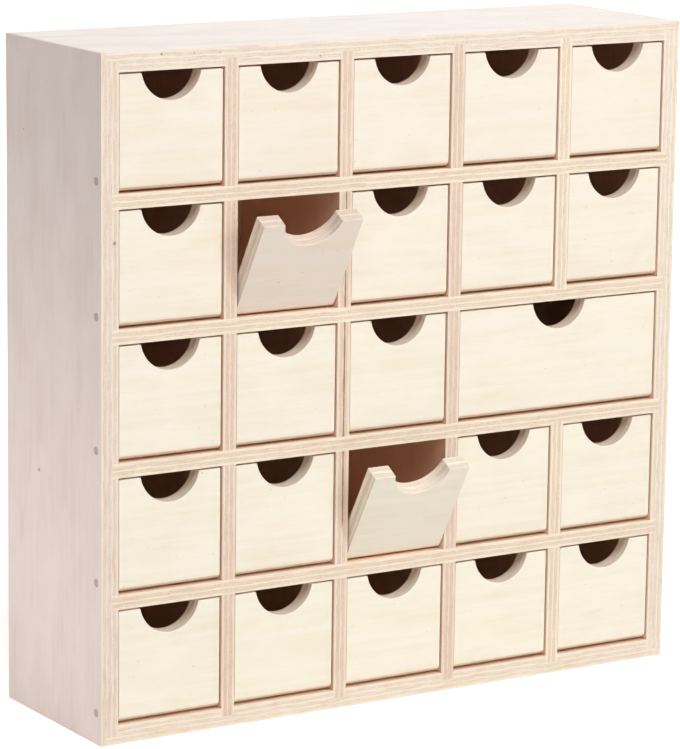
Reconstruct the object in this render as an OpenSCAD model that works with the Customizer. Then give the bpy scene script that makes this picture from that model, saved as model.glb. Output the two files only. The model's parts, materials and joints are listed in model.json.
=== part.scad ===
// Wooden advent calendar: a square plywood case with a grid of compartments,
// each closed by a small flap that tips out about a thin wooden rod.
// Millimetres. X to the right, Y to the back, Z up. The origin is the centre
// of the base, on the surface that the case stands on.

/* [Case] */
// Width of the case, outside
case_w = 320; // [300:1:380]
// Height of the case, outside
case_h = 320; // [300:1:380]
// Depth of the case, front edges to back face
case_d = 93; // [70:1:140]
// Thickness of the sides, top and bottom
panel_t = 9; // [8.5:0.5:12]

/* [Corner joints] */
// Thickness of the tongue that the top and bottom lay over each side
tongue_t = 4; // [3:0.25:4.5]
// Outer lip of each side that covers the end of the tongue
lip_t = 2.4; // [1.6:0.2:3.2]

/* [Grid] */
// Thickness of the shelves and dividers
grid_t = 7; // [6:0.25:8]
// Depth of the grooves in the sides that hold the shelves
shelf_groove = 3.5; // [2:0.25:4.5]
// Depth of the grooves in the top and bottom that hold the dividers
divider_groove = 4; // [2:0.25:4.5]
// Depth of the grooves that hold the ends of the short dividers
short_groove = 1.5; // [1:0.25:2.5]

/* [Back] */
// Thickness of the back panel
back_t = 4; // [3:0.5:6]
// Width of the ledge round the case that the back panel is pinned to
ledge_w = 4; // [3:0.25:4.5]
// Diameter of a brad
brad_d = 1.2; // [1:0.1:1.6]
// Diameter of a brad's head
brad_head_d = 2.4; // [2:0.1:2.8]
// Thickness of a brad's head
brad_head_t = 0.6; // [0.4:0.1:1]
// Length of a brad, head and all
brad_l = 14; // [10:1:18]

/* [Flaps] */
// Thickness of a flap
flap_t = 8; // [7:0.25:8.5]
// How far a closed flap's face lies behind the front edges
flap_recess = 0.8; // [0.4:0.1:2]
// Gap at each side of a flap
side_gap = 0.7; // [0.4:0.1:1.5]
// Gap above a closed flap
top_gap = 0.9; // [0.5:0.1:1.5]
// Gap below a closed flap
foot_gap = 0.8; // [0.4:0.1:1]
// Radius of the round along the foot of a flap's face
foot_round = 3.5; // [3.2:0.1:4]
// Radius of the finger notch
notch_r = 15.5; // [10:0.5:18]
// Height of the notch's centre above the flap's top edge
notch_rise = 2.5; // [0:0.25:3]
// Angle at which the two open flaps stand, in degrees
open_angle = 30; // [10:1:60]

/* [Hinge rods] */
// Diameter of a hinge rod
rod_d = 4; // [3:0.1:4.4]
// Height of a rod's axis above the floor of its row
rod_rise = 6; // [5.8:0.1:7]
// Depth of the blind hole in the right side that a rod ends in
rod_seat = 5; // [3:0.5:6]

/* [Hidden] */
$fn = 64;
// Clearance round a rod or a brad, at the radius
turn_fit = 0.05;
// How far a cut runs past the face that it opens
overrun = 1;

// Counts and places in the grid, from the top left
row_count = 5;
column_count = 5;
wide_row_index = 2;
wide_column_index = 3;
open_cells = [[1, 1], [3, 2]];
// Rows and columns whose middle carries a brad at each end
brad_index = [0, 2, 4];

// Places along the case
left_x = -case_w / 2;
right_x = case_w / 2;
front_y = -case_d / 2;
back_y = case_d / 2;
inner_back_y = back_y - back_t;
inner_left_x = left_x + panel_t;
inner_right_x = right_x - panel_t;
inner_top_z = case_h - panel_t;
inner_depth = inner_back_y - front_y;
half_depth = inner_depth / 2;

// One compartment
cell_w = (case_w - 2 * panel_t - (column_count - 1) * grid_t) / column_count;
cell_h = (case_h - 2 * panel_t - (row_count - 1) * grid_t) / row_count;
function cell_x(c) = inner_left_x + c * (cell_w + grid_t);
function floor_z(r) = inner_top_z - cell_h - r * (cell_h + grid_t);
function shelf_z(r) = floor_z(r) - grid_t;
function divider_x(line) = cell_x(line) + cell_w;

// Heights that the dividers span: full ones, and those above and below the wide cell
full_span = [panel_t - divider_groove, inner_top_z + divider_groove];
upper_span = [floor_z(wide_row_index - 1) - short_groove, full_span[1]];
lower_span = [full_span[0], shelf_z(wide_row_index) + short_groove];

// Hinge rods and flaps
rod_y = front_y + flap_recess + flap_t / 2;
rod_hole_d = rod_d + 2 * turn_fit;
function rod_z(r) = floor_z(r) + rod_rise;
flap_foot = foot_gap - rod_rise;
flap_top = cell_h - top_gap - rod_rise;

// Flaps in reading order, each as row, column and width in cells
function is_wide(r, c) = r == wide_row_index && c == wide_column_index;
flap_cells = [
    for (r = [0 : row_count - 1])
        for (c = [0 : column_count - 1])
            if (!is_wide(r, c - 1))
                [r, c, is_wide(r, c) ? 2 : 1]
];
function rest_angle(r, c) = len([for (cell = open_cells) if (cell == [r, c]) cell]) > 0 ? open_angle : 0;

// Names of the pieces
function two_digits(n) = n < 10 ? str("0", n) : str(n);
shelf_names = [for (r = [0 : row_count - 2]) str("shelf_", r + 1)];
divider_names = [for (line = [0 : wide_column_index - 1]) str("divider_", line + 1)];
rod_names = [for (r = [0 : row_count - 1]) str("hinge_rod_", r + 1)];
flap_names = [for (i = [0 : len(flap_cells) - 1]) str("flap_", two_digits(i + 1))];

// Colours, as bare plywood shows them
face_colour = "#f3e6d2";
case_colour = "#ead9c8";
grid_colour = "#e6d2c0";
rod_colour = "#b08d72";
brad_colour = "#8f8f8c";

// A block from one corner to the opposite one
module block(low, high) {
    translate(low)
        cube(high - low);
}

// A round bar or bore along X
module bar_x(x_from, x_to, y, z, d) {
    translate([x_from, y, z])
        rotate([0, 90, 0])
            cylinder(h = x_to - x_from, d = d);
}

// A round bar or bore along Y
module bar_y(y_from, y_to, x, z, d) {
    translate([x, y_from, z])
        rotate([-90, 0, 0])
            cylinder(h = y_to - y_from, d = d);
}

// The place of the back panel, let into the case
module back_board() {
    edge = panel_t - ledge_w;
    block([left_x + edge, inner_back_y, edge], [right_x - edge, back_y, case_h - edge]);
}

// The grooves that the shelves' ends lie in
module shelf_ends() {
    for (r = [0 : row_count - 2])
        block(
            [inner_left_x - shelf_groove, front_y, shelf_z(r)],
            [inner_right_x + shelf_groove, inner_back_y, floor_z(r)]
        );
}

// Places of the brads, each as X and Z
brad_inset = ledge_w / 2;
brad_places = concat(
    [for (r = brad_index) [inner_left_x - brad_inset, floor_z(r) + cell_h / 2]],
    [for (r = brad_index) [inner_right_x + brad_inset, floor_z(r) + cell_h / 2]],
    [for (c = brad_index) [cell_x(c) + cell_w / 2, inner_top_z + brad_inset]],
    [for (c = brad_index) [cell_x(c) + cell_w / 2, panel_t - brad_inset]]
);

// One brad, or the hole for it where it is given a clearance
module brad(x, z, fit = 0) {
    bar_y(back_y - brad_l, back_y - brad_head_t, x, z, brad_d + 2 * fit);
    bar_y(back_y - brad_head_t, back_y, x, z, brad_head_d + 2 * fit);
}

module brad_holes() {
    for (place = brad_places)
        brad(place[0], place[1], turn_fit);
}

// The holes for the hinge rods, from outside the left side to a given X
module rod_holes(x_to) {
    for (r = [0 : row_count - 1])
        bar_x(left_x - overrun, x_to, rod_y, rod_z(r), rod_hole_d);
}

// One end of a side, cut away inside the lip for a tongue
module tongue_seat(z_from, z_to) {
    block([left_x + lip_t, front_y - overrun, z_from], [right_x - lip_t, back_y + overrun, z_to]);
}

// A side before its holes: grooves for the shelves, seats for the tongues
module side_blank(x_from, x_to) {
    difference() {
        block([x_from, front_y, 0], [x_to, back_y, case_h]);
        tongue_seat(-overrun, tongue_t);
        tongue_seat(case_h - tongue_t, case_h + overrun);
        shelf_ends();
        back_board();
        brad_holes();
    }
}

module left_side() {
    color(case_colour)
        difference() {
            side_blank(left_x, inner_left_x);
            rod_holes(inner_left_x + overrun);
        }
}

module right_side() {
    color(case_colour)
        difference() {
            side_blank(inner_right_x, right_x);
            rod_holes(inner_right_x + rod_seat);
        }
}

// A board between the sides with a tongue over each of them
module lid_blank(z_from, z_to, tongue_from, tongue_to) {
    block([inner_left_x, front_y, z_from], [inner_right_x, back_y, z_to]);
    block([left_x + lip_t, front_y, tongue_from], [right_x - lip_t, back_y, tongue_to]);
}

// A divider's upright slab over a span of heights, where it stands in the grid
module divider_slab(line, span) {
    block([divider_x(line), front_y, span[0]], [divider_x(line) + grid_t, inner_back_y, span[1]]);
}

module short_divider_slabs() {
    divider_slab(wide_column_index, upper_span);
    divider_slab(wide_column_index, lower_span);
}

// All the dividers' slabs, as cuts for their grooves in the top and bottom
module divider_slabs() {
    for (line = [0 : wide_column_index - 1])
        divider_slab(line, full_span);
    short_divider_slabs();
}

module top_panel() {
    color(case_colour)
        difference() {
            lid_blank(inner_top_z, case_h, case_h - tongue_t, case_h);
            divider_slabs();
            back_board();
            brad_holes();
        }
}

module bottom_panel() {
    color(case_colour)
        difference() {
            lid_blank(0, panel_t, 0, tongue_t);
            divider_slabs();
            back_board();
            brad_holes();
        }
}

module back_panel() {
    color(case_colour)
        difference() {
            back_board();
            brad_holes();
        }
}

module back_brads() {
    color(brad_colour)
        for (place = brad_places)
            brad(place[0], place[1]);
}

// Shelf under row r: whole at the front, slotted from the back for the
// dividers that cross it, grooved for a short divider that ends on it
module shelf(r) {
    color(grid_colour)
        difference() {
            block(
                [inner_left_x - shelf_groove, front_y, shelf_z(r)],
                [inner_right_x + shelf_groove, inner_back_y, floor_z(r)]
            );
            for (line = [0 : column_count - 2])
                if (line != wide_column_index || (r != wide_row_index && r != wide_row_index - 1))
                    block(
                        [divider_x(line), front_y + half_depth, shelf_z(r) - overrun],
                        [divider_x(line) + grid_t, inner_back_y + overrun, floor_z(r) + overrun]
                    );
            if (r == wide_row_index || r == wide_row_index - 1)
                short_divider_slabs();
        }
}

// Divider on a line of the grid: slotted from the front for the shelves that
// cross it, and drilled for the hinge rods
module divider(line, span) {
    color(grid_colour)
        difference() {
            divider_slab(line, span);
            for (r = [0 : row_count - 2])
                if (shelf_z(r) > span[0] && floor_z(r) < span[1])
                    block(
                        [divider_x(line) - overrun, front_y - overrun, shelf_z(r)],
                        [divider_x(line) + grid_t + overrun, front_y + half_depth, floor_z(r)]
                    );
            rod_holes(right_x);
        }
}

module upper_short_divider() {
    divider(wide_column_index, upper_span);
}

module lower_short_divider() {
    divider(wide_column_index, lower_span);
}

// Hinge rod of row r, flush with the left side and blind in the right one
module hinge_rod(r) {
    color(rod_colour)
        bar_x(left_x, inner_right_x + rod_seat, rod_y, rod_z(r), rod_d);
}

// A flap's section across its width, with the rod's axis at the origin
module flap_section() {
    difference() {
        translate([-flap_t / 2, flap_foot])
            square([flap_t, flap_top - flap_foot]);
        difference() {
            translate([-flap_t / 2, flap_foot])
                square(foot_round);
            translate([foot_round - flap_t / 2, flap_foot + foot_round])
                circle(r = foot_round);
        }
    }
}

// A flap closed, centred on its width, with the rod's axis at the origin
module flap_blank(w) {
    difference() {
        translate([-w / 2, 0, 0])
            rotate([90, 0, 90])
                linear_extrude(height = w)
                    flap_section();
        bar_x(-w / 2 - overrun, w / 2 + overrun, 0, 0, rod_hole_d);
        bar_y(-flap_t / 2 - overrun, flap_t / 2 + overrun, 0, flap_top + notch_rise, 2 * notch_r);
    }
}

// Flap i of the reading order, at the angle at which it stands
module flap(i) {
    r = flap_cells[i][0];
    c = flap_cells[i][1];
    span_w = flap_cells[i][2] * (cell_w + grid_t) - grid_t;
    color(face_colour)
        translate([cell_x(c) + span_w / 2, rod_y, rod_z(r)])
            rotate([rest_angle(r, c), 0, 0])
                flap_blank(span_w - 2 * side_gap);
}

left_side();
right_side();
top_panel();
bottom_panel();
back_panel();
back_brads();
for (r = [0 : row_count - 2])
    shelf(r);
for (line = [0 : wide_column_index - 1])
    divider(line, full_span);
upper_short_divider();
lower_short_divider();
for (r = [0 : row_count - 1])
    hinge_rod(r);
for (i = [0 : len(flap_cells) - 1])
    flap(i);
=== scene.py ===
# %% [markdown]
# # Dressing a wooden advent calendar
# The calendar is a square case of bare plywood with a grid of small compartments. Each
# compartment is closed by a flap with a half-round finger notch, and every flap in a row
# tips out on one thin wooden rod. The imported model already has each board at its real
# size. This lesson gives the boards what a workshop gives them: sanded edges, the layers
# of plywood on every cut edge, and the figure of the wood.

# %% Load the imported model
import json
import math
import random

import bpy
from mathutils import Matrix, Vector


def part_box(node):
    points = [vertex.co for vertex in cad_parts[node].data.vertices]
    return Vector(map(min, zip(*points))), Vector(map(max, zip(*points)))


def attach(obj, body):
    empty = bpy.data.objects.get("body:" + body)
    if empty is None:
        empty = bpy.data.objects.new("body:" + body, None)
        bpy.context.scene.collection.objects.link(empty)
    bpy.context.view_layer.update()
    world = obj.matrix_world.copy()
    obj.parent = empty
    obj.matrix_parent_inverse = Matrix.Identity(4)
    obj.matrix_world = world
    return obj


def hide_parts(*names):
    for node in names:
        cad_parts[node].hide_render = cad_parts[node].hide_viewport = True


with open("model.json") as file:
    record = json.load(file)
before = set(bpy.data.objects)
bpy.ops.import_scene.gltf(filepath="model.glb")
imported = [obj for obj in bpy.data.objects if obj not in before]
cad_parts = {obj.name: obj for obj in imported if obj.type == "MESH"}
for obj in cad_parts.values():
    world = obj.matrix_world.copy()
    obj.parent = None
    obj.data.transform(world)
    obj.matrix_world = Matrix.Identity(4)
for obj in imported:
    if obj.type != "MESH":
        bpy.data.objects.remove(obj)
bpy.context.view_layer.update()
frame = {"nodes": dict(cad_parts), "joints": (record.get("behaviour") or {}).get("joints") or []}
bpy.ops.object.select_all(action="DESELECT")

MM = 0.001
X, Y, Z = 0, 1, 2
print("Nodes in the frame:", len(frame["nodes"]))

# %% [markdown]
# The frame answers most questions about size. The two sides and the case's height give
# the outline, and the first flap and the first rod give the sizes that every flap shares.
# Only what a box can't tell, such as the notch's radius, is written here again.

# %% Read the sizes off the frame
case_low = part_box("left_side")[0]
case_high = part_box("right_side")[1]
case_size = case_high - case_low
case_middle = (case_low + case_high) / 2
LEFT = case_low.x
FRONT = case_low.y

flap_low, flap_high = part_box("flap_01")
flap_size = flap_high - flap_low
rod_low, rod_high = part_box("hinge_rod_1")

NOTCH_RADIUS = 15.5 * MM
NOTCH_RISE = 2.5 * MM
FOOT_ROUND = 3.5 * MM
TURN_PLAY = 0.1 * MM
ROD_HOLE = rod_high.z - rod_low.z + TURN_PLAY
print("Case:", [round(s / MM, 1) for s in case_size], "mm")
print("Flap:", [round(s / MM, 1) for s in flap_size], "mm")

# %% [markdown]
# ## The camera
# The photograph was taken from the left and a little above with a long lens, which is why
# the case's edges stay almost parallel. The lens comes from the vanishing of those edges,
# and the place of the camera is measured from the front bottom left corner in case heights.
# A camera can be aimed with a Track To constraint, but written angles stay where they are.

# %% Place the camera
FOCAL_PIXELS = 3744
IMAGE_HEIGHT = 749
SENSOR = 36.0
CAMERA_FROM_CORNER = Vector((-2.4615, -4.5573, 1.5936))
TURNED_RIGHT = math.radians(32.099)
TILTED_DOWN = math.radians(11.405)
ROLL = math.radians(0.751)
SEES_UP_TO = 50

camera_data = bpy.data.cameras.new("camera")
camera_data.sensor_width = SENSOR
camera_data.lens = FOCAL_PIXELS / IMAGE_HEIGHT * SENSOR
camera_data.clip_end = SEES_UP_TO
camera = bpy.data.objects.new("camera", camera_data)
bpy.context.scene.collection.objects.link(camera)
camera.location = case_low + CAMERA_FROM_CORNER * case_size.z
camera.rotation_mode = "QUATERNION"
look = Vector((math.sin(TURNED_RIGHT) * math.cos(TILTED_DOWN),
               math.cos(TURNED_RIGHT) * math.cos(TILTED_DOWN),
               -math.sin(TILTED_DOWN)))
level = look.to_track_quat("-Z", "Y").to_matrix().to_4x4()
camera.rotation_quaternion = (level @ Matrix.Rotation(ROLL, 4, "Z")).to_quaternion()
bpy.context.scene.camera = camera
print("Lens:", round(camera_data.lens, 1), "mm")

# %% [markdown]
# ## Small helpers for materials
# A material here is a Principled shader with a few nodes in front of it. Colours are written
# as the hex values that a colour picker shows, and one function turns them into the linear
# numbers that the shader works with. A second function adds any node: its settings are given
# by name, and its inputs by name or by their order. An input is a plain value, or the node
# that feeds it. Blender keeps the sockets that a setting switches off in its lists, so the
# function counts only those that are switched on.

# %% Colours and nodes
def linear(hex_value):
    """The linear colour of an sRGB hex value."""
    parts = [int(hex_value[i:i + 2], 16) / 255 for i in (1, 3, 5)]
    return [p / 12.92 if p <= 0.04045 else ((p + 0.055) / 1.055) ** 2.4 for p in parts] + [1.0]


def add(tree, kind, inputs=None, **settings):
    """Add a node, set it up, and feed its inputs with values, nodes or single outputs."""
    made = tree.nodes.new("ShaderNode" + kind)
    for name, value in settings.items():
        setattr(made, name, value)
    switched_on = [socket for socket in made.inputs if socket.enabled]
    for key, value in (inputs or {}).items():
        socket = switched_on[key] if isinstance(key, int) else made.inputs[key]
        if isinstance(value, bpy.types.Node):
            value = next(out for out in value.outputs if out.enabled)
        if isinstance(value, bpy.types.NodeSocket):
            tree.links.new(value, socket)
        else:
            socket.default_value = value
    return made


def empty_material(name):
    """A material with an empty node tree."""
    material = bpy.data.materials.new(name)
    material.use_nodes = True
    material.node_tree.nodes.clear()
    return material


print("Helpers ready")

# %% [markdown]
# ## Plywood
# Plywood is an odd number of thin layers, glued with the grain of each at right angles to
# the next. Its face shows one layer lying flat, with long soft streaks. Its cut edge shows
# all the layers: those that run along the edge look pale and smooth, and those that are cut
# across look darker and porous. Each layer could be a piece of its own, or the edges could
# have their own material, but one material does both if each point knows where it lies in
# its board. So every board carries these attributes:
#
# - "board" is the place in metres along the grain, across it and through the thickness.
# - "layer" runs from 0 to 1 through the thickness.
# - "cut" is 0 on a face and 1 on a sawn edge.
# - "ends" is 1 on an edge sawn across the face's grain.
# - "inside" is 1 on the faces that look into the compartments.
# - "arris" is 1 on the narrow sanded edges.
# - "foot_looks_down" tells how far each face of a flap's rounded foot looks down, and is 0
#   elsewhere; it places the foot's painted shade.
# - "tone_and_shade" is the same on the whole board and makes it a little darker and pinker.
#   On the flaps and on the left side it is painted shade.

# %% Mark each board with its own grain
FACES, ARRISES = 0, 1
FOOT_STARTS, FOOT_STOPS = 0.4, 0.995
FORWARDS = -0.05
chance = random.Random(24)


def store_mark(mesh, name, domain, value_of):
    """Store a number with each point or each face of a mesh."""
    stored = mesh.attributes.new(name, "FLOAT", domain)
    for item in (mesh.vertices if domain == "POINT" else mesh.polygons):
        stored.data[item.index].value = value_of(item)


def mark_board(piece, along, through, inside="none", tone_and_shade=0.0):
    """Write where each point lies in its board, which faces are sawn, and what looks inside."""
    mesh = piece.data
    across = ({X, Y, Z} - {along, through}).pop()
    depths = [v.co[through] for v in mesh.vertices]
    low = min(depths)
    thickness = max(depths) - low
    shift = Vector([chance.uniform(0, 3) for axis in range(3)])
    places = mesh.attributes.new("board", "FLOAT_VECTOR", "POINT")
    for v in mesh.vertices:
        places.data[v.index].vector = Vector((v.co[along], v.co[across], v.co[through])) + shift

    def looks_in(face):
        towards_middle = (case_middle - face.center).dot(face.normal) > 0
        return inside == "both" or (inside == "one" and towards_middle)

    def looks_down(face):
        downwards = -face.normal.z
        turned = FOOT_STARTS < downwards < FOOT_STOPS and face.normal.y < FORWARDS
        return downwards if turned and inside == "none" else 0

    store_mark(mesh, "layer", "POINT", lambda v: (v.co[through] - low) / thickness)
    store_mark(mesh, "cut", "FACE", lambda face: 1 - abs(face.normal[through]))
    store_mark(mesh, "ends", "FACE", lambda face: abs(face.normal[along]))
    store_mark(mesh, "inside", "FACE", looks_in)
    store_mark(mesh, "arris", "FACE", lambda face: face.material_index == ARRISES)
    store_mark(mesh, "foot_looks_down", "FACE", looks_down)
    store_mark(mesh, "tone_and_shade", "FACE", lambda face: tone_and_shade)


print("Boards can be marked")

# %% [markdown]
# ### The figure of the face
# A picture of wood would repeat, and it would have to be laid on each board. Here every part
# of the figure is a noise stretched along the grain, which runs through the board as grain
# does, and its size is given in millimetres along the grain and across it. On this pale wood
# the clouds of colour and the growth streaks hardly show. Here and there a patch of tan
# heartwood runs along the board, and a few small flecks dot the face. Inputs 1 and 2 of a
# Map Range node are the lowest and highest value that comes in, and 3 and 4 are what they
# turn into.

# %% The face of the board
FLECK = "#bfa183"


def figure(tree, board, length_mm, width_mm, depth_mm=40, detail=2.0, distortion=0.0):
    """Noise whose cells have this size along the grain, across it and through the board."""
    cells = (1 / (length_mm * MM), 1 / (width_mm * MM), 1 / (depth_mm * MM))
    place = add(tree, "VectorMath", {0: board, 1: cells}, operation="MULTIPLY")
    return add(tree, "TexNoise", {"Vector": place, "Scale": 1.0, "Detail": detail,
                                  "Distortion": distortion})


def face_of(tree, board, face, cloud, streak, heart):
    """The colour of a board's face, and its streaks for use below."""
    clouds = figure(tree, board, 34, 17, detail=4.0, distortion=0.3)
    clouds = add(tree, "MapRange", {0: clouds, 1: 0.36, 2: 0.66})
    streaks = figure(tree, board, 150, 3.5, detail=3.0, distortion=0.1)
    streaks = add(tree, "MapRange", {0: streaks, 1: 0.40, 2: 0.72, 4: 0.8})
    hearts = figure(tree, board, 36, 6.0, distortion=0.5)
    hearts = add(tree, "MapRange", {0: hearts, 1: 0.60, 2: 0.84, 4: 0.6})
    flecks = figure(tree, board, 1.5, 0.8, detail=0.0)
    flecks = add(tree, "MapRange", {0: flecks, 1: 0.86, 2: 0.89, 4: 0.7})
    colour = add(tree, "Mix", {0: clouds, 1: linear(face), 2: linear(cloud)}, data_type="RGBA")
    colour = add(tree, "Mix", {0: streaks, 1: colour, 2: linear(streak)}, data_type="RGBA")
    colour = add(tree, "Mix", {0: hearts, 1: colour, 2: linear(heart)}, data_type="RGBA")
    colour = add(tree, "Mix", {0: flecks, 1: colour, 2: linear(FLECK)}, data_type="RGBA")
    return colour, streaks


print("Faces can be coloured")

# %% [markdown]
# ### The layers of the cut edge
# A wave texture could draw the stripes, but the layers differ in thickness, so a colour ramp
# over the thickness gives each layer its own width and colour. Between two layers the colour
# changes over a narrow border, as veneers that were pressed together do.

# %% The layers
HALF_BORDER = 0.014


def borders(plies):
    """Where each layer but the last one ends, as a share of the thickness."""
    total = sum(thickness for thickness, colour in plies)
    reached = 0
    shares = []
    for thickness, colour in plies[:-1]:
        reached += thickness / total
        shares.append(reached)
    return shares


def ply_ramp(tree, share, plies):
    """A ramp through the thickness, from plies given as thickness and colour."""
    made = add(tree, "ValToRGB", {0: share})
    steps = made.color_ramp.elements
    steps.remove(steps[-1])
    steps[0].position = 0
    steps[0].color = linear(plies[0][1])
    for border, ply, next_ply in zip(borders(plies), plies, plies[1:]):
        steps.new(border - HALF_BORDER).color = linear(ply[1])
        steps.new(border + HALF_BORDER).color = linear(next_ply[1])
    return made


print("Layers can be laid")

# %% [markdown]
# A thin worn glue line shows here and there between the layers. The layers that are cut
# across are end grain, which is darker and rough with pores, while the others show their
# fibres lengthwise. A black and white ramp tells the one kind from the other.

# %% Glue lines and end grain
GLUE_REACH = 0.03


def with_glue(tree, board, share, plies, colour, glue):
    """The colour of the layers, with worn glue lines over their borders."""
    for border in borders(plies):
        off = add(tree, "Math", {0: share, 1: border}, operation="SUBTRACT")
        off = add(tree, "Math", {0: off}, operation="ABSOLUTE")
        line = add(tree, "MapRange", {0: off, 1: 0.0, 2: GLUE_REACH, 3: 1.0, 4: 0.0})
        worn = figure(tree, board, 6, 6, 2, detail=1.0)
        worn = add(tree, "MapRange", {0: worn, 1: 0.42, 2: 0.7, 3: 0.0, 4: 0.7})
        line = add(tree, "Math", {0: line, 1: worn}, operation="MULTIPLY")
        colour = add(tree, "Mix", {0: line, 1: colour, 2: linear(glue)}, data_type="RGBA")
    return colour


def grain_of_layers(tree, board, share, ends, plies):
    """How bright each point of the edge is: dark pores in end grain, faint fibres elsewhere."""
    odd_plies = [(ply[0], ("#000000", "#ffffff")[i % 2]) for i, ply in enumerate(plies)]
    odd_plies = ply_ramp(tree, share, odd_plies)
    end_grain = add(tree, "Math", {0: odd_plies, 1: ends}, operation="SUBTRACT")
    end_grain = add(tree, "Math", {0: end_grain}, operation="ABSOLUTE")
    pores = figure(tree, board, 1.0, 1.0, 0.3, detail=2.0)
    pores = add(tree, "MapRange", {0: pores, 1: 0.32, 2: 0.6, 3: 0.86, 4: 1.03})
    fibres = figure(tree, board, 12, 12, 0.3, detail=1.0)
    fibres = add(tree, "MapRange", {0: fibres, 1: 0.3, 2: 0.7, 3: 0.96, 4: 1.02})
    return add(tree, "Mix", {0: end_grain, 1: fibres, 2: pores}, data_type="FLOAT")


print("Glue lines and end grain ready")

# %% [markdown]
# The borders of the layers wander a little, so the place in the thickness is shaken by a
# slow noise before the ramp reads it. On an edge sawn the other way the layers change
# places, so a second ramp has each layer in its neighbour's colour. A few patches have aged
# to a darker tan.

# %% The cut edge of the board
WANDER = 0.03
AGED = "#e0c0a2"


def edge_of(tree, board, layer, ends, plies, glue):
    """The colour of a board's cut edge."""
    wave = figure(tree, board, 14, 14)
    wave = add(tree, "MapRange", {0: wave, 1: 0.3, 2: 0.7, 3: -WANDER, 4: WANDER})
    share = add(tree, "Math", {0: layer, 1: wave}, operation="ADD")
    neighbours = [plies[1]] + plies[:-1]
    swapped = [(own[0], near[1]) for own, near in zip(plies, neighbours)]
    across = ply_ramp(tree, share, plies)
    along = ply_ramp(tree, share, swapped)
    colour = add(tree, "Mix", {0: ends, 1: across, 2: along}, data_type="RGBA")
    colour = with_glue(tree, board, share, plies, colour, glue)
    aged = figure(tree, board, 13, 13, 1.1, distortion=0.5)
    aged = add(tree, "MapRange", {0: aged, 1: 0.52, 2: 0.74, 4: 0.5})
    colour = add(tree, "Mix", {0: aged, 1: colour, 2: linear(AGED)}, data_type="RGBA")
    grain = grain_of_layers(tree, board, share, ends, plies)
    return add(tree, "Mix", {0: 1.0, 1: colour, 2: grain}, data_type="RGBA",
               blend_type="MULTIPLY")


print("Edges can be coloured")

# %% [markdown]
# ### Painted inside shade, painted edge highlights and the foot
# The faces inside the compartments are painted in a warmer colour, a painted shade that the
# dim compartments deepen to brown. It starts within the first millimetre behind the front
# edge. The arrises are painted paler than the wood on both sides of them, a painted highlight
# along every edge. The rounded foot of a flap is painted tan, partly for the inner layers that
# the round cuts into and partly as painted shade where it turns down. Lowest down, in the gap
# above the shelf, it is painted dark, a painted shade. Separate materials would meet in hard
# lines, so the attributes fade these colours in.

# %% Colour the worked surfaces
# Painted shade: behind the front edge, between these depths, the inside faces turn to the warmer
# colour.
INSIDE_SHADE_FROM = 0.2 * MM
INSIDE_SHADE_TO = 1.0 * MM
# Painted highlight: the pale colour the arrises are painted towards.
PAINTED_EDGE_HIGHLIGHT = "#fbf3e8"
# The foot's colours: a tan that is partly the inner layers the round cuts into and partly painted
# shade, and a painted shade dark for the gap above the shelf.
FOOT_PLY_AND_SHADE_TAN = "#dcbd98"
PAINTED_GAP_SHADE = "#5c3420"


def with_painted_inside_shade(tree, place, colour, streaks, inside_shade):
    """The colour of the faces, with painted shade in a warmer colour on the faces inside the
    compartments.
    """
    inside = add(tree, "Attribute", attribute_name="inside").outputs["Fac"]
    depth = add(tree, "SeparateXYZ", {0: place}).outputs["Y"]
    # Painted shade: the inside faces are mixed towards the warmer colour behind the front edge.
    inside_shade_mask = add(tree, "MapRange", {0: depth, 1: FRONT + INSIDE_SHADE_FROM, 2: FRONT + INSIDE_SHADE_TO})
    inside_shade_mask = add(tree, "Math", {0: inside_shade_mask, 1: inside}, operation="MULTIPLY")
    inside_shade_colour = add(tree, "Mix", {0: streaks, 1: linear(inside_shade[0]), 2: linear(inside_shade[1])},
               data_type="RGBA")
    return add(tree, "Mix", {0: inside_shade_mask, 1: colour, 2: inside_shade_colour}, data_type="RGBA")


def with_edge_highlight_and_foot_shade(tree, colour):
    """The colour of the board, with a painted highlight on its arrises, and its foot painted tan
    and, lowest down, dark with painted shade.
    """
    # Painted highlight: every arris is painted paler than the faces beside it.
    arris = add(tree, "Attribute", attribute_name="arris").outputs["Fac"]
    arris = add(tree, "Math", {0: arris, 1: 0.6}, operation="MULTIPLY")
    colour = add(tree, "Mix", {0: arris, 1: colour, 2: linear(PAINTED_EDGE_HIGHLIGHT)}, data_type="RGBA")
    foot_looks_down = add(tree, "Attribute", attribute_name="foot_looks_down").outputs["Fac"]
    # Partly the inner layers of the cut round, partly painted shade where the foot turns down.
    tan = add(tree, "MapRange", {0: foot_looks_down, 1: 0.1, 2: 0.5, 4: 0.6})
    colour = add(tree, "Mix", {0: tan, 1: colour, 2: linear(FOOT_PLY_AND_SHADE_TAN)}, data_type="RGBA")
    # Painted shade: the lowest faces of the foot, in the gap above the shelf, are painted dark.
    gap_shade = add(tree, "MapRange", {0: foot_looks_down, 1: 0.8, 2: 0.93, 4: 0.95})
    return add(tree, "Mix", {0: gap_shade, 1: colour, 2: linear(PAINTED_GAP_SHADE)}, data_type="RGBA")


print("Worked surfaces can be coloured")

# %% [markdown]
# ### Knots and a split
# A pin knot is a small dark spot, drawn here round a given point, because the photograph
# shows where the plainest ones are. The edge of one divider has split between two layers.
# The split is only a hair wide, so it is a dark line and isn't cut into the board. Its width
# is ragged, and it fades out at both ends.

# %% Draw the knots and the split
KNOT = "#94735c"
SPLIT = "#8a5d45"
SPLIT_FADE = 4 * MM


def with_knots(tree, place, colour, knots):
    """The colour of the board, with a dark spot at each knot."""
    for knot, radius_mm in knots:
        radius = radius_mm * MM
        off = add(tree, "VectorMath", {0: place, 1: knot}, operation="DISTANCE")
        dark = add(tree, "MapRange", {0: off, 1: 0.3 * radius, 2: radius, 3: 0.75, 4: 0.0})
        colour = add(tree, "Mix", {0: dark, 1: colour, 2: linear(KNOT)}, data_type="RGBA")
    return colour


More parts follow.
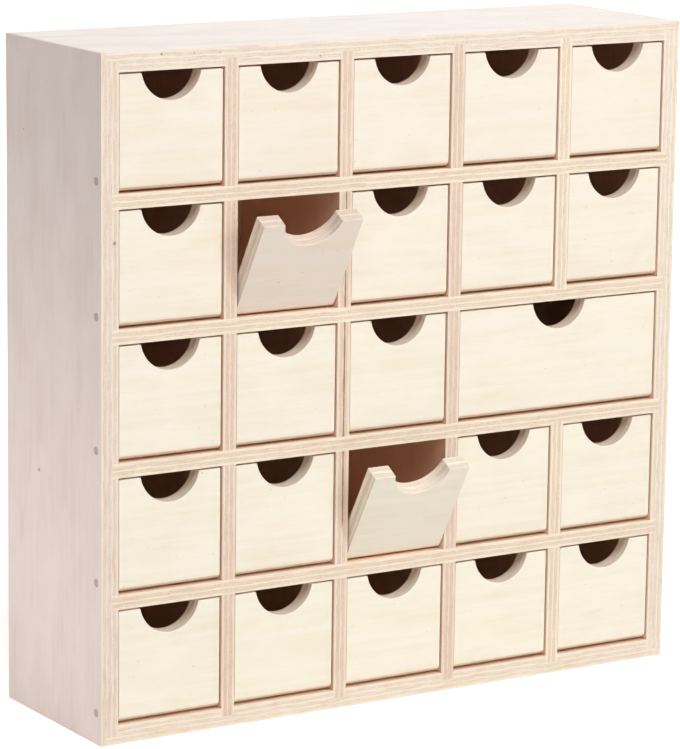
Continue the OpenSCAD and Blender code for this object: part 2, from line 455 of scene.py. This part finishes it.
def with_split(tree, board, place, colour, split):
    """The colour of the board, with a dark upright line at the split."""
    (at_x, low_z, high_z), width_mm = split
    width = width_mm * MM
    axes = add(tree, "SeparateXYZ", {0: place})
    off = add(tree, "Math", {0: axes.outputs["X"], 1: at_x}, operation="SUBTRACT")
    off = add(tree, "Math", {0: off}, operation="ABSOLUTE")
    ragged = figure(tree, board, 7, 7)
    reach = add(tree, "MapRange", {0: ragged, 1: 0.3, 2: 0.7, 3: 0.4 * width, 4: 0.75 * width})
    off = add(tree, "Math", {0: off, 1: reach}, operation="DIVIDE")
    dark = add(tree, "MapRange", {0: off, 1: 0.6, 2: 1.2, 3: 0.8, 4: 0.0})
    height = axes.outputs["Z"]
    above = add(tree, "MapRange", {0: height, 1: low_z, 2: low_z + SPLIT_FADE})
    below = add(tree, "MapRange", {0: height, 1: high_z - SPLIT_FADE, 2: high_z, 3: 1.0, 4: 0.0})
    dark = add(tree, "Math", {0: dark, 1: above}, operation="MULTIPLY")
    dark = add(tree, "Math", {0: dark, 1: below}, operation="MULTIPLY")
    return add(tree, "Mix", {0: dark, 1: colour, 2: linear(SPLIT)}, data_type="RGBA")


print("Knots and a split can be drawn")

# %% [markdown]
# ### The whole board
# Bare sanded wood is matt, with fine fibres that catch the light a little. The steps above
# are laid over each other in the order in which the board was worked, then the tone of its
# sheet and the fibres go over them all. The fibres are drawn half a millimetre wide, because
# a pixel of the photograph covers that much and real ones are too fine to show.

# %% The plywood material
PALE_SHEET = "#ffffff"
PINK_TONE_AND_SHADE = "#f4ebef"


def plywood(name, face, cloud, streak, heart, plies, glue, inside_shade=None, knots=(), split=None):
    """Bare sanded plywood, with the figure on its faces and its layers on its sawn edges."""
    material = empty_material(name)
    tree = material.node_tree
    board = add(tree, "Attribute", attribute_name="board").outputs["Vector"]
    layer, cut, ends, tone_and_shade = [add(tree, "Attribute", attribute_name=mark).outputs["Fac"]
                              for mark in ("layer", "cut", "ends", "tone_and_shade")]
    place = add(tree, "TexCoord").outputs["Object"]

    flat, streaks = face_of(tree, board, face, cloud, streak, heart)
    if inside_shade:
        flat = with_painted_inside_shade(tree, place, flat, streaks, inside_shade)
    edge = edge_of(tree, board, layer, ends, plies, glue)
    on_edge = add(tree, "MapRange", {0: cut, 1: 0.05, 2: 0.18})
    colour = add(tree, "Mix", {0: on_edge, 1: flat, 2: edge}, data_type="RGBA")
    colour = with_edge_highlight_and_foot_shade(tree, colour)
    colour = with_knots(tree, place, colour, knots)
    if split:
        colour = with_split(tree, board, place, colour, split)

    # Painted shade on the flaps and the left side: the board is mixed towards a darker pink by
    # its attribute.
    sheet_and_shade = add(tree, "Mix", {0: tone_and_shade, 1: linear(PALE_SHEET), 2: linear(PINK_TONE_AND_SHADE)},
                data_type="RGBA")
    fibres = figure(tree, board, 9, 0.55)
    shade = add(tree, "MapRange", {0: fibres, 1: 0.3, 2: 0.7, 3: 0.985, 4: 1.01})
    for factor in (sheet_and_shade, shade):
        colour = add(tree, "Mix", {0: 1.0, 1: colour, 2: factor}, data_type="RGBA",
                     blend_type="MULTIPLY")
    bump = add(tree, "Bump", {"Strength": 0.25, "Distance": 0.08 * MM, "Height": fibres})
    shader = add(tree, "BsdfPrincipled", {"Base Color": colour, "Normal": bump, "Roughness": 0.62,
                                          "IOR": 1.5, "Specular IOR Level": 0.3})
    add(tree, "OutputMaterial", {"Surface": shader})
    return material


print("Plywood can be made")

# %% [markdown]
# The calendar needs four kinds of board. The flaps are 8 mm thick and the creamiest, with
# thin outer layers round three thick ones. The case has seven layers and a slightly pink
# face, with a few pin knots.

# %% The plywood of the flaps and the case
# Painted shade: the warmer colour painted on the faces inside the compartments.
INSIDE_SHADE_TINT = ("#fddbc0", "#f8d1b2")

case_knots = [((LEFT, 14.3 * MM, 118.7 * MM), 1.3),
              ((LEFT, 28.8 * MM, 277.3 * MM), 0.6),
              ((LEFT + 257.0 * MM, -7.0 * MM, 320.0 * MM), 0.9),
              ((LEFT + 6.8 * MM, FRONT, 234.2 * MM), 1.3),
              ((LEFT + 69.8 * MM, FRONT, 313.7 * MM), 1.2),
              ((LEFT + 114.2 * MM, FRONT, 313.3 * MM), 0.7),
              ((LEFT + 30.6 * MM, FRONT, 318.2 * MM), 0.9),
              ((LEFT + 47.5 * MM, FRONT, 317.8 * MM), 0.5),
              ((LEFT + 61.0 * MM, FRONT, 317.5 * MM), 0.5)]
flap_ply = plywood(
    "sanded_basswood_ply_flap",
    face="#f4eedb", cloud="#f1e7d2", streak="#f5efe1", heart="#eee1c6",
    plies=[(0.7, "#f7efe0"), (2.4, "#eedfcb"), (1.8, "#f8efdf"), (2.4, "#eddeca"),
           (0.7, "#f7efe0")],
    glue="#c9a58c")
case_ply = plywood(
    "sanded_basswood_ply_case",
    face="#f7e9e1", cloud="#eedfd6", streak="#f5e9e1", heart="#e9d5c6",
    plies=[(1.3, "#f1e4d2"), (1.3, "#ebddca"), (1.2, "#f1e3d2"), (1.4, "#eadcca"),
           (1.2, "#f1e5d3"), (1.3, "#eadbc8"), (1.3, "#f1e5d3")],
    glue="#cdb29c", inside_shade=INSIDE_SHADE_TINT, knots=case_knots)
print("Plywoods:", flap_ply.name, case_ply.name)

# %% [markdown]
# The grid has five layers, and one divider has the long split. The thin back has only three.
# Their faces inside the compartments are painted a warm pink, a painted shade that the dim
# compartments deepen to brown.

# %% The plywood of the grid and the back
# Painted shade: the warmer colour painted on the back's inside face.
BACK_INSIDE_SHADE_TINT = ("#f7dfcd", "#f0d3be")

grid_sheet = {
    "face": "#ecdccb", "cloud": "#e6d2ba", "streak": "#ecdccb", "heart": "#e2cdb2",
    "plies": [(1.4, "#f2e5d0"), (1.6, "#e9d6c0"), (1.0, "#f2e4cf"), (1.6, "#e9d5bf"),
              (1.4, "#f2e4cf")],
    "glue": "#c4a28a", "inside_shade": INSIDE_SHADE_TINT}
core_split = ((LEFT + 129.4 * MM, 88.0 * MM, 252.0 * MM), 0.8)
grid_ply = plywood("sanded_basswood_ply_grid", **grid_sheet)
split_ply = plywood("sanded_basswood_ply_grid_split", **grid_sheet, split=core_split)
back_ply = plywood(
    "sanded_basswood_ply_back",
    face="#efe2d5", cloud="#e8d9ca", streak="#f2e7db", heart="#e3cfb8",
    plies=[(1.2, "#efe0cf"), (1.6, "#e2cebb"), (1.2, "#eedfce")],
    glue="#c4a28a", inside_shade=BACK_INSIDE_SHADE_TINT)
print("Plywoods:", grid_ply.name, split_ply.name, back_ply.name)

# %% [markdown]
# ## Dowel and steel
# The rods are thin hardwood dowels. Their ends show end grain, which drinks up the light and
# looks brown, so the dowel is darker than the boards. The brads are drawn steel wire with
# flat heads, and the faint scratches of the die keep the metal from shining like a mirror.
# The dowel's lines and the scratches are drawn about half a millimetre wide, coarser than
# they are, so that they show.

# %% The other materials
def dowel(name, face, dark):
    """A bare dowel, with fine lines along it."""
    material = empty_material(name)
    tree = material.node_tree
    place = add(tree, "TexCoord").outputs["Object"]
    cells = (1 / (12 * MM), 1 / (0.5 * MM), 1 / (0.5 * MM))
    stretched = add(tree, "VectorMath", {0: place, 1: cells}, operation="MULTIPLY")
    lines = add(tree, "TexNoise", {"Vector": stretched, "Scale": 1.0})
    colour = add(tree, "Mix", {0: lines, 1: linear(face), 2: linear(dark)}, data_type="RGBA")
    shader = add(tree, "BsdfPrincipled", {"Base Color": colour, "Roughness": 0.7,
                                          "IOR": 1.5, "Specular IOR Level": 0.25})
    add(tree, "OutputMaterial", {"Surface": shader})
    return material


def wire_steel(name, colour):
    """Plain steel, with the faint scratches of the wire-drawing die."""
    material = empty_material(name)
    tree = material.node_tree
    place = add(tree, "TexCoord").outputs["Object"]
    fine = add(tree, "TexNoise", {"Vector": place, "Scale": 1 / (0.4 * MM)})
    bump = add(tree, "Bump", {"Strength": 0.2, "Distance": 0.02 * MM, "Height": fine})
    shader = add(tree, "BsdfPrincipled", {"Base Color": linear(colour), "Metallic": 1.0,
                                          "Roughness": 0.38, "Normal": bump})
    add(tree, "OutputMaterial", {"Surface": shader})
    return material


rod_dowel = dowel("ramin_dowel", "#dcc3b5", "#b2978a")
brad_steel = wire_steel("drawn_steel_brad", "#a9a7a3")
print("Dowel and steel ready")

# %% [markdown]
# ## Sanded boards
# A sharp computer edge is the first thing that gives a model away. The shader could round it
# with a Bevel node, but that is only a trick of the light, and the mesh would stay sharp. So
# a Bevel modifier gives every edge a fine arris, as a sanding block leaves. Weighted normals
# keep the broad faces flat to the light. The arrises get a material slot of their own for a
# while, which is how they are found when the board is marked.

# %% Sand the edges
ARRIS_ABOVE = 40


def make_active(piece):
    """Select this piece alone and make it active."""
    bpy.ops.object.select_all(action="DESELECT")
    piece.select_set(True)
    bpy.context.view_layer.objects.active = piece


def sand(piece, arris, smooth_below=50):
    """Round every sharp edge by a fine arris, with the broad faces kept flat to the light."""
    make_active(piece)
    piece.data.materials.clear()
    for kind in (FACES, ARRISES):
        piece.data.materials.append(None)
    bevel = piece.modifiers.new("arris", "BEVEL")
    bevel.width = arris
    bevel.segments = 2
    bevel.limit_method = "ANGLE"
    bevel.angle_limit = math.radians(ARRIS_ABOVE)
    bevel.use_clamp_overlap = True
    bevel.material = ARRISES
    bpy.ops.object.modifier_apply(modifier="arris")
    bpy.ops.object.shade_smooth_by_angle(angle=math.radians(smooth_below))
    flat_faces = piece.modifiers.new("flat_faces", "WEIGHTED_NORMAL")
    flat_faces.keep_sharp = True
    bpy.ops.object.modifier_apply(modifier="flat_faces")


print("Edges can be sanded")

# %% [markdown]
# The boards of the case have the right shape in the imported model, so each is copied, and
# nothing is measured twice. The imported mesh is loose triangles, so the copy is first merged
# into whole faces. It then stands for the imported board, which stays hidden for collision.

# %% Copy a packed board and dress it
WELD = 0.002 * MM
FLAT_WITHIN = 0.5


def sanded_copy(node, arris):
    """A copy of a packed board, merged into whole faces, with its edges sanded."""
    piece = frame["nodes"][node].copy()
    piece.data = piece.data.copy()
    piece.parent = None
    for key in list(piece.keys()):
        if key.startswith("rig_"):
            del piece[key]
    piece.name = "sanded_" + node
    piece.data.name = piece.name
    bpy.context.scene.collection.objects.link(piece)
    make_active(piece)
    bpy.ops.object.mode_set(mode="EDIT")
    bpy.ops.mesh.select_all(action="SELECT")
    bpy.ops.mesh.remove_doubles(threshold=WELD)
    bpy.ops.mesh.dissolve_limited(angle_limit=math.radians(FLAT_WITHIN))
    bpy.ops.object.mode_set(mode="OBJECT")
    sand(piece, arris)
    return piece


def dress(piece, node, body, material):
    """Give a finished piece its material and its place in the frame."""
    piece.data.materials.clear()
    piece.data.materials.append(material)
    for face in piece.data.polygons:
        face.material_index = 0
    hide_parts(node)
    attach(piece, body)


print("Packed boards can be copied and dressed")

# %% [markdown]
# ### The case and the grid
# The grain runs up the sides, the back and the dividers, and from left to right along the
# top, the bottom and the shelves. A table gives for each board the way of its grain, the way
# of its thickness, its arris, its material and its slot. The grid gets a finer arris than
# the case, because its boards cross flush and a wide one would open a groove between them. A
# few boards are painted a little darker and pinker. On the left side this is painted shade.

# %% Sand the case and the grid
CASE_ARRIS = 0.35 * MM
GRID_ARRIS = 0.18 * MM
# Painted shade on the left side, which is painted darker and pinker; the other boards listed are
# painted a little darker and pinker too.
BOARD_TONES_AND_SHADE = {"left_side": 0.35, "top_panel": 0.1,
               "divider_1": 0.6, "divider_2": 0.5, "divider_3": 0.7}

boards = {
    "left_side": (Z, X, CASE_ARRIS, case_ply, "case_ply"),
    "right_side": (Z, X, CASE_ARRIS, case_ply, "case_ply"),
    "top_panel": (X, Z, CASE_ARRIS, case_ply, "case_ply"),
    "bottom_panel": (X, Z, CASE_ARRIS, case_ply, "case_ply"),
    "back_panel": (Z, Y, GRID_ARRIS, back_ply, "case_ply"),
    "upper_short_divider": (Z, X, GRID_ARRIS, grid_ply, "grid_ply"),
    "lower_short_divider": (Z, X, GRID_ARRIS, grid_ply, "grid_ply"),
}
for node in frame["nodes"]:
    if node.startswith("shelf_"):
        boards[node] = (X, Z, GRID_ARRIS, grid_ply, "grid_ply")
    if node.startswith("divider_"):
        divider_ply = split_ply if node == "divider_2" else grid_ply
        boards[node] = (Z, X, GRID_ARRIS, divider_ply, "grid_ply")

for node, (along, through, arris, material, slot_name) in sorted(boards.items()):
    board = sanded_copy(node, arris)
    looks_inside = "both" if slot_name == "grid_ply" else "one"
    mark_board(board, along, through, looks_inside, BOARD_TONES_AND_SHADE.get(node, 0.0))
    dress(board, node, "case", material)
print("Boards sanded:", len(boards))

# %% [markdown]
# ### Rods and brads
# The rods end flush with the left side, and the brads are driven flush into the back. Both
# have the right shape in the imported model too, so they are copied and sanded like the boards.

# %% Sand the rods' ends and set the brads
ROD_ARRIS = 0.3 * MM
BRAD_ARRIS = 0.12 * MM

for node in sorted(frame["nodes"]):
    if node.startswith("hinge_rod_"):
        rod = sanded_copy(node, ROD_ARRIS)
        dress(rod, node, "case", rod_dowel)
brads = sanded_copy("back_brads", BRAD_ARRIS)
dress(brads, "back_brads", "case", brad_steel)
print("Rods and brads dressed")

# %% [markdown]
# ## Modelling a flap
# A flap is a small board with a finger notch, a bore for the rod, and a rounded foot that
# lets it roll past the shelf below as it tips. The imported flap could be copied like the
# other boards. It is modelled by hand instead, which gives the notch and the foot finer
# steps. Both holes are round, as a drill leaves them. Edit mode would need a ring of new
# edges on each face for them, while a Boolean modifier takes a cylinder out in one step.

# %% Cut a round hole
CUTTER_SIDES = 96


def cut_away(piece, radius, length, centre, turn):
    """Take a cylinder out of a piece."""
    bpy.ops.mesh.primitive_cylinder_add(
        vertices=CUTTER_SIDES, radius=radius, depth=length, location=centre, rotation=turn)
    cutter = bpy.context.object
    make_active(piece)
    hole = piece.modifiers.new("hole", "BOOLEAN")
    hole.object = cutter
    hole.operation = "DIFFERENCE"
    hole.solver = "EXACT"
    bpy.ops.object.modifier_apply(modifier="hole")
    bpy.data.objects.remove(cutter)


print("Holes can be cut")

# %% [markdown]
# The flap starts as a block at its real size. A bevel of one edge rounds the foot, a
# cylinder cuts the notch and a thinner one the bore, and last every edge is sanded. The
# edges of the sanded foot meet at small angles, so that it is shaded as one round.

# %% Model one flap, closed
FLAP_ARRIS = 0.4 * MM
FLAP_SMOOTH_BELOW = 35
FOOT_STEPS = 10


def model_flap(name, low, high, rod_z):
    """A flap closed in its place, from its lowest to its highest corner."""
    size = high - low
    middle = (low + high) / 2
    bpy.ops.object.select_all(action="DESELECT")
    bpy.ops.mesh.primitive_cube_add(size=1, location=middle, scale=size)
    piece = bpy.context.object
    piece.name = name
    bpy.ops.object.transform_apply(location=True, rotation=True, scale=True)
    for vertex in piece.data.vertices:
        vertex.select = vertex.co.y < middle.y and vertex.co.z < middle.z
    for edge in piece.data.edges:
        edge.select = all(piece.data.vertices[i].select for i in edge.vertices)
    for face in piece.data.polygons:
        face.select = False
    bpy.ops.object.mode_set(mode="EDIT")
    bpy.context.tool_settings.mesh_select_mode = (False, True, False)
    bpy.ops.mesh.bevel(offset=FOOT_ROUND, segments=FOOT_STEPS, profile=0.5)
    bpy.ops.object.mode_set(mode="OBJECT")
    notch_at = Vector((middle.x, middle.y, high.z + NOTCH_RISE))
    cut_away(piece, NOTCH_RADIUS, 2 * size.y, notch_at, (math.pi / 2, 0, 0))
    bore_at = Vector((middle.x, middle.y, rod_z))
    cut_away(piece, ROD_HOLE / 2, 2 * size.x, bore_at, (0, math.pi / 2, 0))
    sand(piece, FLAP_ARRIS, FLAP_SMOOTH_BELOW)
    return piece


joints = {joint["child"]: joint for joint in frame["joints"]}
flap_names = sorted(n for n in frame["nodes"] if n.startswith("flap_"))
first_pivot = Vector(joints["flap_01"]["pos_m"])
single = model_flap("flap_pattern", flap_low, flap_high, first_pivot.z)
wide_name = max(flap_names, key=lambda n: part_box(n)[1].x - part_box(n)[0].x)
wide = model_flap("wide_pattern", *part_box(wide_name), joints[wide_name]["pos_m"][2])
print("Corners of a flap's mesh:", len(single.data.vertices))

# %% [markdown]
# ### A flap for every compartment
# All the single flaps are copies of one mesh, moved from the first pivot to their own. Each
# is marked while it is closed, so that its grain is its own and tips with it. The lowest
# angle of a hinge tells how far its flap stands open now. In the photograph the higher flaps
# are slightly darker than the lower ones, so they are painted darker with their height, a
# painted shade, and the two open ones have a painted shade of their own.

# %% Copy the flap to every compartment
# Painted shade: the flaps are painted darker towards the top, and the two open flaps are painted
# darker.
FLAP_SHADE_RISE = 0.4
OPEN_FLAP_SHADE = {"flap_07": 0.7, "flap_17": 0.1}

for name in flap_names:
    pattern = wide if name == wide_name else single
    pivot = Vector(joints[name]["pos_m"])
    pattern_pivot = pivot if name == wide_name else first_pivot
    piece = bpy.data.objects.new("board_" + name, pattern.data.copy())
    bpy.context.scene.collection.objects.link(piece)
    tone_and_shade = OPEN_FLAP_SHADE.get(name, FLAP_SHADE_RISE * pivot.z / case_high.z)
    mark_board(piece, X, Y, tone_and_shade=tone_and_shade)
    open_now = math.radians(-joints[name]["range_deg"][0])
    to_pivot = Matrix.Translation(-pattern_pivot)
    tip = Matrix.Rotation(open_now, 4, "X")
    piece.data.transform(Matrix.Translation(pivot) @ tip @ to_pivot)
    dress(piece, name, name, flap_ply)
for pattern in (single, wide):
    bpy.data.objects.remove(pattern)
print("Flaps:", len(flap_names), "with one double-width:", wide_name)

# %% [markdown]
# ## Floor and light
# The photograph is a plain studio cut-out on a white ground. The floor is a plain white
# sheet. More light would make it white, but it would also bleach the wood. So the floor
# glows for the camera alone, and more with the distance from the case: it reaches pure white
# where nothing shades it, and it still keeps the soft shadow under the case.

# %% Lay the floor
FLOOR_SIZE = 30
GLOW_GROWS_FROM = 0.25
GLOW_GROWS_TO = 0.9
GLOW_NEAR = 0.55


def seen_by_camera(tree):
    """1 for rays from the camera, straight or through gloss or glass, and 0 for others."""
    path = add(tree, "LightPath").outputs
    seen = path["Is Camera Ray"]
    for kind in ("Is Glossy Ray", "Is Transmission Ray"):
        seen = add(tree, "Math", {0: seen, 1: path[kind]}, operation="MAXIMUM")
    return seen


bpy.ops.mesh.primitive_plane_add(size=FLOOR_SIZE, location=(0, 0, 0))
floor = bpy.context.object
floor.name = "floor"
floor_paper = empty_material("white_paper")
tree = floor_paper.node_tree
place = add(tree, "TexCoord").outputs["Object"]
distance = add(tree, "VectorMath", {0: place}, operation="LENGTH")
glow = add(tree, "MapRange", {0: distance, 1: GLOW_GROWS_FROM, 2: GLOW_GROWS_TO,
                              3: GLOW_NEAR, 4: 1.0})
glow = add(tree, "Math", {0: seen_by_camera(tree), 1: glow}, operation="MULTIPLY")
paper = add(tree, "BsdfDiffuse", {"Color": linear("#f2f0ee")})
light = add(tree, "Emission", {"Color": (1, 1, 1, 1), "Strength": glow})
both = add(tree, "AddShader", {0: paper, 1: light})
add(tree, "OutputMaterial", {"Surface": both})
floor.data.materials.append(floor_paper)
print("Floor laid")

# %% [markdown]
# ### The lamps
# The shadows in the photograph say where its light came from. A broad lamp stands high on
# the left, and another hangs overhead. A smaller one in front on the right makes the shadows
# round the open flaps crisper, and a weak one low in front reaches into the compartments. A
# small card on the floor lights the left side from below, as white paper does. Two lamps
# behind the case light its top and its back, and one lights the right side. All of them are
# hidden from the camera, so that none shows in another view.

# %% Hang the lamps
def softbox(name, place, target, size, watts, tint=(1, 1, 1)):
    """A square area lamp that looks at a point."""
    lamp = bpy.data.lights.new(name, "AREA")
    lamp.size = size
    lamp.energy = watts
    lamp.color = tint
    holder = bpy.data.objects.new(name, lamp)
    holder.visible_camera = False
    bpy.context.scene.collection.objects.link(holder)
    holder.location = place
    holder.rotation_mode = "QUATERNION"
    holder.rotation_quaternion = (Vector(target) - Vector(place)).to_track_quat("-Z", "Y")


softbox("high_left", (-1.9, -2.5, 2.6), case_middle, 1.6, 27, (1.0, 0.95, 0.95))
softbox("front_right", (0.8, -2.0, 1.4), case_middle, 0.7, 18.2)
softbox("front_low", (0.1, -1.9, 0.3), case_middle, 0.8, 6.1)
softbox("overhead", (0.1, -1.6, 2.6), case_middle, 1.4, 33.5, (0.985, 1.0, 1.0))
softbox("floor_left", (-0.40, 0.02, 0.02), case_middle, 0.16, 0.31, (1.0, 0.97, 0.97))
softbox("behind_left", (-1.1, 2.0, 1.0), case_middle, 1.2, 18, (0.96, 1.0, 1.0))
softbox("behind_right", (1.3, 1.9, 1.0), case_middle, 1.2, 18, (0.96, 1.0, 1.0))
softbox("right_side", (2.2, 0.3, 0.6), case_middle, 1.0, 7)
print("Lamps hung")

# %% [markdown]
# ### The white studio
# Round the floor there is nothing but white. A backdrop could be built, but the world can be
# white for the camera, and black for every other ray, so that only the lamps light the
# wood. Gloss and metal see it as white too. The Standard view shows each colour as written.

# %% Make the world white for the camera
world = bpy.data.worlds.new("studio")
bpy.context.scene.world = world
world.use_nodes = True
tree = world.node_tree
tree.nodes.clear()
ambient = add(tree, "Background", {"Color": (1, 1, 1, 1), "Strength": 0.0})
white = add(tree, "Background", {"Color": (1, 1, 1, 1), "Strength": 1.0})
ground = add(tree, "MixShader", {0: seen_by_camera(tree), 1: ambient, 2: white})
add(tree, "OutputWorld", {"Surface": ground})
bpy.context.scene.view_settings.view_transform = "Standard"
print("World ready")
